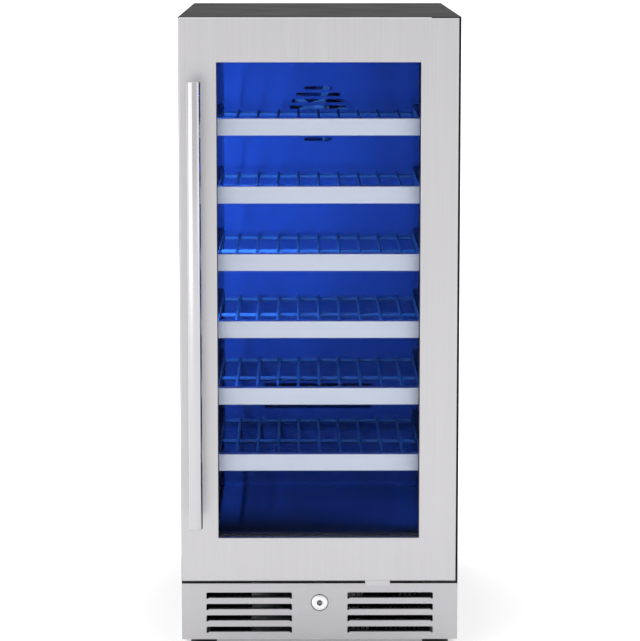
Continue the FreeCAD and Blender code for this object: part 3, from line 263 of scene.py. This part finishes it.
def light_strip(name, colour, strength):
    """Frosted diffuser that glows, a little brighter over each diode."""
    finish = Finish(name, Roughness=0.5, Emission_Strength=strength)
    frost = finish.noise(0.0012, detail=2.0)
    waves = finish.add("ShaderNodeTexWave", {"Vector": finish.place, "Scale": 30.0},
                       bands_direction="Z").outputs["Fac"]
    glow = finish.mix(finish.spread(waves, 0, 0.6), colour, shade(colour, 2.0))
    finish.wire("Emission Color", glow)
    finish.wire("Base Color", finish.mix(frost, (0.55, 0.60, 0.70), (0.65, 0.70, 0.80)))
    finish.relief(frost, 0.00002, 0.0005)
    return finish.material


STEEL = (0.484, 0.476, 0.488)
UP_GRAIN = (1, 1, 160)
ACROSS_GRAIN = (160, 1, 1)
NEAR_BLACK = (0.003, 0.0035, 0.008)
BLUE = (0.05, 0.25, 1.0)
LOCK_FACE = 10.9 * MM

finishes = {
    "stainless": brushed_metal("brushed_door_steel", STEEL, UP_GRAIN),
    "stainless_grille": brushed_metal("brushed_grille_steel", shade(STEEL, 0.93), ACROSS_GRAIN),
    "stainless_bar": brushed_metal("brushed_handle_steel", STEEL, UP_GRAIN, (0.12, 0.18), 0.0007),
    "rack_metal": brushed_metal("satin_rack_aluminium", (0.655, 0.715, 0.85), ACROSS_GRAIN,
                                (0.34, 0.44), 0.0009),
    "lock_chrome": lock_nickel("lock_nickel", (0.80, 0.80, 0.80), LOCK_FACE),
    "plain_steel": plain_metal("zinc_plated_steel", (0.55, 0.56, 0.58)),
    "runner_steel": plain_metal("runner_steel", (0.10, 0.105, 0.12), (0.30, 0.45)),
    "spacer_metal": plain_metal("spacer_aluminium", (0.45, 0.46, 0.48), (0.35, 0.5)),
    "coil_metal": plain_metal("coil_aluminium", (0.26, 0.265, 0.27), (0.40, 0.55), 0.002, 0.0002),
    "copper_line": plain_metal("copper_tube", (0.72, 0.36, 0.20), (0.24, 0.45), 0.006),
    "galvanised_sheet": galvanised("galvanised_sheet"),
    "cabinet_paint": powder_paint("cabinet_powder_coat", (0.028, 0.028, 0.029), (0.6, 0.75),
                                  gloss=0.05),
    "compressor_paint": powder_paint("compressor_enamel", (0.012, 0.012, 0.013), (0.25, 0.4), 0.0012),
    "rack_wire_coat": powder_paint("rack_black_coat", (0.005, 0.0055, 0.0075), (0.35, 0.5),
                                   0.0008, 0.0003),
    "liner_plastic": moulded("liner_black_plastic", NEAR_BLACK, (0.5, 0.65), Specular_IOR_Level=0.12),
    "door_plastic": moulded("door_black_plastic", (0.024, 0.024, 0.026)),
    "control_plastic": moulded("control_black_plastic", (0.018, 0.018, 0.020), (0.2, 0.34),
                               0.0009, 0.000006),
    "motor_plastic": moulded("motor_black_plastic", (0.030, 0.030, 0.032)),
    "fan_plastic": moulded("fan_black_plastic", (0.016, 0.016, 0.018), (0.45, 0.6)),
    "foot_plastic": moulded("foot_black_plastic", (0.028, 0.028, 0.028), (0.5, 0.65)),
    "nylon": moulded("nylon_bush", (0.72, 0.70, 0.64), (0.35, 0.5), 0.0016, 0.000008),
    "seal_rubber": rubber("gasket_black_pvc", (0.020, 0.020, 0.021)),
    "insulation": foam("polyurethane_foam", (0.50, 0.36, 0.16), (0.72, 0.58, 0.32)),
    "clear_glass": tinted_glass("tinted_pane"),
    "light_diffuser": light_strip("blue_light_diffuser", BLUE, 1.6),
}
# Black enamel for the condenser and electronics box, darkened well below real paint as painted shade
# inside the machine bay behind the grille's louvres.
bay_black_and_painted_shade = powder_paint("machine_bay_black_and_painted_shade", (0.004, 0.004, 0.004), (0.6, 0.75), 0.0012, gloss=0.03)

# Nodes whose finish differs from the rest of their slot
special = {
    "lock_core": plain_metal("lock_core_steel", (0.20, 0.20, 0.21), (0.3, 0.42), 0.002),
    "door_foam": foam("grey_door_foam", (0.030, 0.030, 0.032), (0.055, 0.055, 0.058)),
    "hinge_screws": plain_metal("black_oxide_steel", (0.05, 0.05, 0.055), (0.4, 0.55)),
    "condenser": bay_black_and_painted_shade,
    "electronics_box": bay_black_and_painted_shade,
}

for name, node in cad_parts.items():
    for held in node.material_slots:
        held.material = special.get(name, finishes[held.material.name])


# Mesh tools

def ring(bm, points):
    return [bm.verts.new(point) for point in points]


def skin(bm, rings, closed=False):
    """Joins rings of equal length with quads; a closed row also joins the last ring to the first."""
    pairs = list(zip(rings, rings[1:])) + ([(rings[-1], rings[0])] if closed else [])
    for first, second in pairs:
        count = len(first)
        for k in range(count):
            bm.faces.new((first[k], first[(k + 1) % count], second[(k + 1) % count], second[k]))


def lathe(bm, profile, place, axis, steps=72):
    """Turns (radius, distance) pairs round an axis; a radius of 0 closes the end."""
    axis = Vector(axis).normalized()
    side = axis.orthogonal().normalized()
    other = axis.cross(side)
    rings = []
    for radius, along in profile:
        middle = Vector(place) + axis * along
        if radius == 0:
            rings.append(bm.verts.new(middle))
            continue
        turns = [2 * math.pi * k / steps for k in range(steps)]
        spokes = [side * math.cos(a) + other * math.sin(a) for a in turns]
        rings.append(ring(bm, [middle + spoke * radius for spoke in spokes]))
    for first, second in zip(rings, rings[1:]):
        if isinstance(first, list) and isinstance(second, list):
            skin(bm, [first, second])
            continue
        tip, edge = (first, second) if isinstance(second, list) else (second, first)
        for k in range(steps):
            bm.faces.new((tip, edge[k], edge[(k + 1) % steps]))


def rod(bm, start, end, radius, steps=20):
    """Round wire with domed ends."""
    start, end = Vector(start), Vector(end)
    length = (end - start).length
    dome = [(radius * math.sin(a), radius * (1 - math.cos(a)))
            for a in (math.pi / 8 * k for k in range(5))]
    profile = dome + [(r, length - along) for r, along in reversed(dome)]
    lathe(bm, profile, start, end - start, steps)


def prism(bm, outline, low, high):
    """Closed solid that stands on an (x, y) outline, between two heights."""
    rings = [ring(bm, [(x, y, z) for x, y in outline]) for z in (low, high)]
    skin(bm, rings)
    bm.faces.new(list(reversed(rings[0])))
    bm.faces.new(rings[1])


def rounded_rectangle(width, height, radius, steps=6):
    """Outline of a rectangle with round corners, about its middle."""
    points = []
    for corner, (sx, sy) in enumerate(((1, 1), (-1, 1), (-1, -1), (1, -1))):
        cx, cy = sx * (width / 2 - radius), sy * (height / 2 - radius)
        for k in range(steps + 1):
            a = math.pi / 2 * (corner + k / steps)
            points.append((cx + radius * math.cos(a), cy + radius * math.sin(a)))
    return points


def plate(bm, width, height, thick, radius, place, across, up):
    """Rounded plate with a small chamfer round both faces; `place` is the middle of its back face."""
    across, up = Vector(across), Vector(up)
    out = across.cross(up)
    chamfer = min(thick, radius) * 0.4
    rings = []
    for inset, level in ((chamfer, 0), (0, chamfer), (0, thick - chamfer), (chamfer, thick)):
        shape = rounded_rectangle(width - inset * 2, height - inset * 2, radius)
        rings.append(ring(bm, [Vector(place) + across * x + up * y + out * level for x, y in shape]))
    skin(bm, rings)
    bm.faces.new(list(reversed(rings[0])))
    bm.faces.new(rings[-1])


def finish_piece(name, bm, slot, body, replaced=(), sharp=35):
    """Turns the built mesh into a named piece that rides on a body, takes a slot's finish and may
    stand in for CAD nodes."""
    bmesh.ops.recalc_face_normals(bm, faces=bm.faces)
    mesh = bpy.data.meshes.new(name)
    bm.to_mesh(mesh)
    bm.free()
    mesh.shade_smooth()
    mesh.set_sharp_from_angle(angle=math.radians(sharp))
    mesh.materials.append(finishes[slot])
    piece = bpy.data.objects.new(name, mesh)
    bpy.context.scene.collection.objects.link(piece)
    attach(piece, body)
    if replaced:
        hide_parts(*replaced)


# Door pieces

def make_handle_bar():
    """Long round bar with softly broken end edges."""
    low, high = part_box("handle_bar")
    radius = (high.x - low.x) / 2
    length = high.z - low.z
    edge = 1.2 * MM
    end = [(0, 0), (radius - edge * 1.6, 0)]
    end += [(radius - edge + edge * math.sin(a), edge * (1 - math.cos(a)))
            for a in (math.pi / 10 * k for k in range(1, 6))]
    profile = end + [(r, length - along) for r, along in reversed(end)]
    bm = bmesh.new()
    lathe(bm, profile, ((low.x + high.x) / 2, (low.y + high.y) / 2, low.z), (0, 0, 1), 96)
    finish_piece("handle_bar_turned", bm, "stainless_bar", "door", ["handle_bar"])


def make_gasket():
    """Magnetic door seal: a flange, two folds and a flat bulb, mitred at its four corners."""
    low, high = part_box("door_gasket")
    # Millimetres inward from the seal's outer edge, and back from the door
    width, depth = 14, (high.y - low.y) / MM
    flange = [(0, 0), (0, 1.0), (2.2, 1.5)]
    folds = [(3.6, 2.2), (3.9, 2.6), (3.5, 3.0), (2.4, 3.7), (1.9, 4.4)]
    bulb = [(1.9, 6.4), (2.3, 7.2), (3.1, depth - 0.1), (4.4, depth)]
    half = flange + folds + bulb
    section = half + [(width - inward, back) for inward, back in reversed(half)]
    middle = Vector(((low.x + high.x) / 2, 0, (low.z + high.z) / 2))
    half_x, half_z = (high.x - low.x) / 2, (high.z - low.z) / 2
    bm = bmesh.new()
    rings = []
    for sx, sz in ((-1, -1), (1, -1), (1, 1), (-1, 1)):
        mitre = [(middle.x + sx * (half_x - inward * MM), low.y + back * MM,
                  middle.z + sz * (half_z - inward * MM)) for inward, back in section]
        rings.append(ring(bm, mitre))
    skin(bm, rings, closed=True)
    finish_piece("door_gasket_bellows", bm, "seal_rubber", "door", ["door_gasket"], sharp=50)


# Cavity pieces

def make_rack_shelf(index):
    """Welded wire shelf: nine long wires on three cross rods, between side rails with slide tongues."""
    low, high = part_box(f"rack_wire_{index}")
    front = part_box(f"rack_front_{index}")[1].y
    wire, cross = 2 * MM, 3 * MM
    wire_spacing = 29 * MM
    cross_z = low.z + 3.5 * MM
    wire_z = cross_z + cross + wire - 0.6 * MM
    cross_ys = (front + 12 * MM, low.y + 187.5 * MM, high.y - 8 * MM)
    rail_x, rail_thick = high.x - 9.5 * MM, 1.5 * MM
    rail_y, rail_length = (front + high.y) / 2, high.y - front
    weld_bead = [(0, 0), (2.0 * MM, 0.5 * MM), (2.6 * MM, 1.6 * MM), (2.2 * MM, 2.8 * MM),
                 (0, 3.4 * MM)]
    bm = bmesh.new()
    for y in cross_ys:
        rod(bm, (-rail_x, y, cross_z), (rail_x, y, cross_z), cross)
    for step in range(-4, 5):
        x = step * wire_spacing
        rod(bm, (x, low.y + 1 * MM, wire_z), (x, high.y - 2.5 * MM, wire_z), wire)
        for y in cross_ys:
            lathe(bm, weld_bead, (x, y, wire_z - 3.2 * MM), (0, 0, 1), 16)
    for side in (-1, 1):
        rail = (side * (rail_x + rail_thick / 2) - rail_thick / 2, rail_y, (low.z + high.z) / 2)
        plate(bm, rail_length, high.z - low.z, rail_thick, 2.5 * MM, rail, (0, 1, 0), (0, 0, 1))
        tongue = (side * (rail_x + rail_thick + 4 * MM), rail_y + 3 * MM, low.z + 6.5 * MM)
        plate(bm, 8 * MM, rail_length - 6 * MM, rail_thick, 1.2 * MM, tongue, (1, 0, 0), (0, 1, 0))
    finish_piece(f"rack_shelf_{index}", bm, "rack_wire_coat", f"rack_{index}", [f"rack_wire_{index}"])


def make_light_strips():
    """Half-round frosted lenses in both front corners of the cavity."""
    low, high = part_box("led_strips")
    half_width, thick = (high.y - low.y) / 2, 3.5 * MM
    middle_y = (low.y + high.y) / 2
    turns = [math.pi * k / 12 for k in range(13)]
    bm = bmesh.new()
    for side in (-1, 1):
        outline = [(side * (high.x - thick * math.sin(a)), middle_y + half_width * math.cos(a))
                   for a in turns]
        prism(bm, outline, low.z, high.z)
    finish_piece("light_strip_lenses", bm, "light_diffuser", "cabinet", ["led_strips"])


def make_controls():
    """Display window and four dished touch keys on the underside of the control unit."""
    low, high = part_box("control_panel")
    middle_y = (low.y + high.y) / 2 - 1 * MM
    middle = (0, middle_y, low.z)
    width, depth, thick, corner = 46 * MM, 18 * MM, 0.6 * MM, 3 * MM
    bm = bmesh.new()
    plate(bm, width, depth, thick, corner, middle, (-1, 0, 0), (0, 1, 0))
    finish_piece("control_display_window", bm, "control_plastic", "cabinet")
    inner_key, outer_key = 46 * MM, 72 * MM
    key = [(0, 0), (6.4 * MM, 0), (6.4 * MM, 0.6 * MM), (5.9 * MM, 0.9 * MM),
           (3.0 * MM, 0.65 * MM), (0, 0.6 * MM)]
    bm = bmesh.new()
    for x in (-outer_key, -inner_key, inner_key, outer_key):
        lathe(bm, key, (x, middle_y, low.z), (0, 0, -1), 48)
    finish_piece("control_touch_keys", bm, "motor_plastic", "cabinet")


# Back of the cabinet

def make_rear_screws():
    """Hexagon washer-head sheet screws round the back panel and the machine bay cover."""
    cover_low, cover_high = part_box("rear_cover")
    panel_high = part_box("cabinet_back_panel")[1]
    column = cover_high.x - 9 * MM
    cover_top, panel_bottom = cover_high.z - 9 * MM, cover_high.z + 10 * MM
    panel_top = panel_high.z - 10 * MM
    cover_heights = [cover_low.z + 12 * MM, 112 * MM, cover_top]
    panel_heights = [panel_bottom, 430 * MM, 640 * MM, panel_top]
    places = [(side * column, z) for side in (-1, 1) for z in cover_heights + panel_heights]
    places += [(0, cover_top), (0, panel_bottom), (0, panel_top)]
    washer = [(0, 0), (4.8 * MM, 0), (4.8 * MM, 0.3 * MM), (4.4 * MM, 0.5 * MM), (0, 0.5 * MM)]
    head = [(0, 0.4 * MM), (3.2 * MM, 0.4 * MM), (3.2 * MM, 1.5 * MM), (2.8 * MM, 1.8 * MM),
            (0, 1.7 * MM)]
    bm = bmesh.new()
    for x, z in places:
        start = (x, cover_high.y, z)
        lathe(bm, washer, start, (0, 1, 0), 32)
        lathe(bm, head, start, (0, 1, 0), 6)
    finish_piece("rear_panel_screws", bm, "plain_steel", "cabinet", sharp=20)


# Floor, light and camera

def aim(item, target):
    item.rotation_euler = (Vector(target) - item.location).to_track_quat("-Z", "Y").to_euler()


def area_light(name, place, target, size, watts, colour=(1, 1, 1)):
    """Rectangular lamp that the camera doesn't see."""
    lamp = bpy.data.lights.new(name, "AREA")
    lamp.shape = "RECTANGLE"
    lamp.size, lamp.size_y = size
    lamp.energy = watts
    lamp.color = colour
    item = bpy.data.objects.new(name, lamp)
    item.location = place
    item.visible_camera = False
    bpy.context.scene.collection.objects.link(item)
    aim(item, target)
    return item


def make_floor():
    bpy.ops.mesh.primitive_plane_add(size=60)
    floor = bpy.context.object
    floor.name = "floor"
    finish = Finish("pale_floor", Roughness=0.9, Specular_IOR_Level=0.1, Emission_Strength=0.19)
    finish.shader.inputs["Emission Color"].default_value = (1, 1, 1, 1)
    finish.wire("Base Color", finish.mix(finish.noise(1.5), (0.90, 0.90, 0.90), (0.93, 0.93, 0.93)))
    floor.data.materials.append(finish.material)


def make_studio():
    """White room with a broad soft light on the left, which draws the highlight down the handle."""
    world = bpy.data.worlds.new("studio")
    bpy.context.scene.world = world
    world.use_nodes = True
    background = world.node_tree.nodes["Background"]
    background.inputs["Color"].default_value = (1, 1, 1, 1)
    background.inputs["Strength"].default_value = 1.0
    area_light("left_softbox", place=(-3.3, -2.0, 1.2), target=(-0.14, -0.3, 0.5),
               size=(5.6, 3.4), watts=62)
    area_light("right_softbox", place=(3.2, -0.8, 1.4), target=(0, 0, 0.4), size=(2.5, 2.5), watts=10)
    ceiling = bpy.data.lights.new("ceiling", "SUN")
    ceiling.energy = 1.0
    ceiling.angle = math.radians(80)
    item = bpy.data.objects.new("ceiling", ceiling)
    item.rotation_euler = (math.radians(-15), 0, 0)
    bpy.context.scene.collection.objects.link(item)
    bpy.context.scene.view_settings.view_transform = "Standard"


def make_cavity_light():
    """Lamps behind the two light strips; the left one is the stronger and sits higher."""
    low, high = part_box("led_strips")
    strip_length = high.z - low.z
    behind_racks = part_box("rack_front_1")[1].y + 5 * MM
    # side, watts, and the lamp's middle and length as shares of the strip
    lamps = {
        "strip_lamp_left": (-1, 150.0, 0.70, 0.56),
        "strip_lamp_right": (1, 24.0, 0.50, 0.90),
    }
    for name, (side, watts, middle, share) in lamps.items():
        z = low.z + strip_length * middle
        place = (side * (high.x - 14 * MM), behind_racks, z)
        back_wall = (side * 0.08, 0.16, z)
        lamp = area_light(name, place, back_wall, (5 * MM, strip_length * share), watts, BLUE)
        lamp.visible_glossy = False


def make_camera():
    """Eye above the top edge and almost square to the door, far enough away to flatten the sides."""
    camera = bpy.data.cameras.new("camera")
    camera.lens = 151.2
    camera.sensor_width = 36.0
    camera.shift_y = -0.06
    downward, sideways = math.radians(7.84), math.radians(0.34)
    item = bpy.data.objects.new("camera", camera)
    item.location = (-0.0209, -3.823, 1.0063)
    item.rotation_euler = (math.pi / 2 - downward, 0, -sideways)
    bpy.context.scene.collection.objects.link(item)
    bpy.context.scene.camera = item


make_handle_bar()
make_gasket()
for rack in RACKS:
    make_rack_shelf(rack)
make_light_strips()
make_controls()
make_rear_screws()
make_floor()
make_studio()
make_cavity_light()
make_camera()
